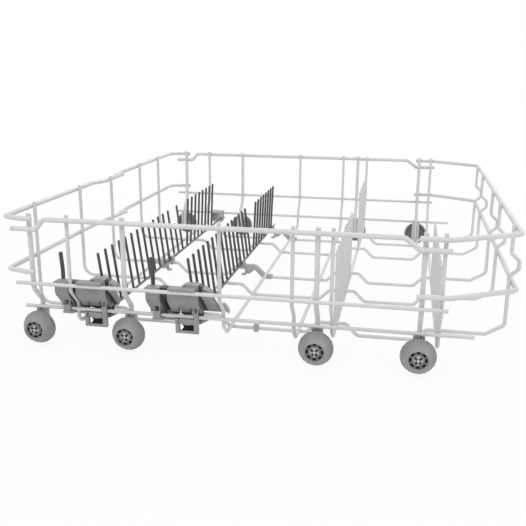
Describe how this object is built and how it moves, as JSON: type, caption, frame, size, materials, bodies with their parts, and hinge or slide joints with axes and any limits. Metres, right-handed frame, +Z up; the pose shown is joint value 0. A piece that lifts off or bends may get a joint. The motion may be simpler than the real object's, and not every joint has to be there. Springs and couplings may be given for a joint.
{
  "type": "dishwasher basket",
  "caption": "Lower dishwasher basket of coated wire on plastic wheels, with a stepped floor, fixed tine rows and folding tine racks held in clipped plastic bearings.",
  "frame": {"origin": "centre of the basket's outline, on the plane that the wheels stand on", "axes": "+X from the left end wall to the right end wall of the picture, the way the basket rolls, +Y from the near side to the far side, +Z up"},
  "size_m": [0.468, 0.509, 0.1278],
  "materials": {
    "coated_wire": "smooth pale grey nylon coating on steel wire",
    "tine_coat": "dark grey nylon coating on steel wire",
    "rod_coat": "mid grey nylon coating on steel rod",
    "grey_plastic": "moulded polypropylene, satin",
    "pale_plastic": "pale grey moulded polypropylene, satin",
    "wheel_plastic": "moulded polypropylene, satin",
    "lever_plastic": "dark grey moulded plastic"
  },
  "bodies": {
    "basket": {"axle_brackets": "pale_plastic", "cross_wire_1": "coated_wire", "cross_wire_2": "coated_wire", "cross_wire_3": "coated_wire", "cross_wire_4": "coated_wire", "cross_wire_5": "coated_wire", "far_lower_rail": "coated_wire", "far_side_rail": "coated_wire", "far_top_rail": "coated_wire", "far_wheel_wire_1": "coated_wire", "far_wheel_wire_2": "coated_wire", "far_wheel_wire_3": "coated_wire", "far_wheel_wire_4": "coated_wire", "fixed_tines_3": "coated_wire", "fixed_tines_4": "coated_wire", "left_middle_bail_far": "coated_wire", "left_middle_bail_near": "coated_wire", "left_top_bail_far": "coated_wire", "left_top_bail_near": "coated_wire", "length_wire_1": "coated_wire", "length_wire_2": "coated_wire", "length_wire_3": "coated_wire", "length_wire_4": "coated_wire", "length_wire_5": "coated_wire", "near_bearing_1": "grey_plastic", "near_bearing_2": "grey_plastic", "near_lower_rail": "coated_wire", "near_side_rail": "coated_wire", "near_top_rail": "coated_wire", "near_wheel_wire_1": "coated_wire", "near_wheel_wire_2": "coated_wire", "near_wheel_wire_3": "coated_wire", "near_wheel_wire_4": "coated_wire", "rack_1_far_bearing": "grey_plastic", "rack_1_middle_arm": "grey_plastic", "rack_2_far_arm": "grey_plastic", "rack_2_middle_arm": "grey_plastic", "right_middle_bail": "coated_wire", "right_top_bail": "coated_wire", "wire_clip": "grey_plastic"},
    "near_wheel_1": {"near_wheel_1": "wheel_plastic"},
    "near_wheel_2": {"near_wheel_2": "wheel_plastic"},
    "near_wheel_3": {"near_wheel_3": "wheel_plastic"},
    "near_wheel_4": {"near_wheel_4": "wheel_plastic"},
    "far_wheel_1": {"far_wheel_1": "wheel_plastic"},
    "far_wheel_2": {"far_wheel_2": "wheel_plastic"},
    "far_wheel_3": {"far_wheel_3": "wheel_plastic"},
    "far_wheel_4": {"far_wheel_4": "wheel_plastic"},
    "rack_1_near": {"rack_1_near_rods": "rod_coat", "rack_1_near_tines": "tine_coat"},
    "rack_1_far": {"rack_1_far_rod": "rod_coat", "rack_1_far_tines": "tine_coat"},
    "lever_1": {"lever_1": "lever_plastic"},
    "rack_2_near": {"rack_2_near_rods": "rod_coat", "rack_2_near_tines": "tine_coat"},
    "rack_2_far": {"rack_2_far_rod": "rod_coat", "rack_2_far_tines": "tine_coat"},
    "lever_2": {"lever_2": "lever_plastic"}
  },
  "joints": [
    {"name": "near_wheel_1_spin", "type": "hinge", "parent": "basket", "child": "near_wheel_1", "pos_m": [-0.2064, -0.24765, 0.0158], "axis": [0, 1, 0], "continuous": true},
    {"name": "near_wheel_2_spin", "type": "hinge", "parent": "basket", "child": "near_wheel_2", "pos_m": [-0.1166, -0.24765, 0.0158], "axis": [0, 1, 0], "continuous": true},
    {"name": "near_wheel_3_spin", "type": "hinge", "parent": "basket", "child": "near_wheel_3", "pos_m": [0.0595, -0.24765, 0.0158], "axis": [0, 1, 0], "continuous": true},
    {"name": "near_wheel_4_spin", "type": "hinge", "parent": "basket", "child": "near_wheel_4", "pos_m": [0.1491, -0.24765, 0.0158], "axis": [0, 1, 0], "continuous": true},
    {"name": "far_wheel_1_spin", "type": "hinge", "parent": "basket", "child": "far_wheel_1", "pos_m": [-0.2064, 0.24765, 0.0158], "axis": [0, 1, 0], "continuous": true},
    {"name": "far_wheel_2_spin", "type": "hinge", "parent": "basket", "child": "far_wheel_2", "pos_m": [-0.1166, 0.24765, 0.0158], "axis": [0, 1, 0], "continuous": true},
    {"name": "far_wheel_3_spin", "type": "hinge", "parent": "basket", "child": "far_wheel_3", "pos_m": [0.0595, 0.24765, 0.0158], "axis": [0, 1, 0], "continuous": true},
    {"name": "far_wheel_4_spin", "type": "hinge", "parent": "basket", "child": "far_wheel_4", "pos_m": [0.1491, 0.24765, 0.0158], "axis": [0, 1, 0], "continuous": true},
    {"name": "rack_1_near_fold", "type": "hinge", "parent": "basket", "child": "rack_1_near", "pos_m": [-0.1463, -0.125, 0.0285], "axis": [0, 1, 0], "range_deg": [-82, 0]},
    {"name": "rack_1_far_fold", "type": "hinge", "parent": "basket", "child": "rack_1_far", "pos_m": [-0.1463, 0.08, 0.0285], "axis": [0, 1, 0], "range_deg": [-82, 0]},
    {"name": "lever_1_swing", "type": "hinge", "parent": "basket", "child": "lever_1", "pos_m": [-0.1828, -0.2347, 0.057], "axis": [0, 1, 0], "range_deg": [-12, 12]},
    {"name": "rack_2_near_fold", "type": "hinge", "parent": "basket", "child": "rack_2_near", "pos_m": [-0.0573, -0.125, 0.0285], "axis": [0, 1, 0], "range_deg": [-82, 0]},
    {"name": "rack_2_far_fold", "type": "hinge", "parent": "basket", "child": "rack_2_far", "pos_m": [-0.0573, 0.08, 0.0285], "axis": [0, 1, 0], "range_deg": [-82, 0]},
    {"name": "lever_2_swing", "type": "hinge", "parent": "basket", "child": "lever_2", "pos_m": [-0.0938, -0.2347, 0.057], "axis": [0, 1, 0], "range_deg": [-12, 12]}
  ]
}
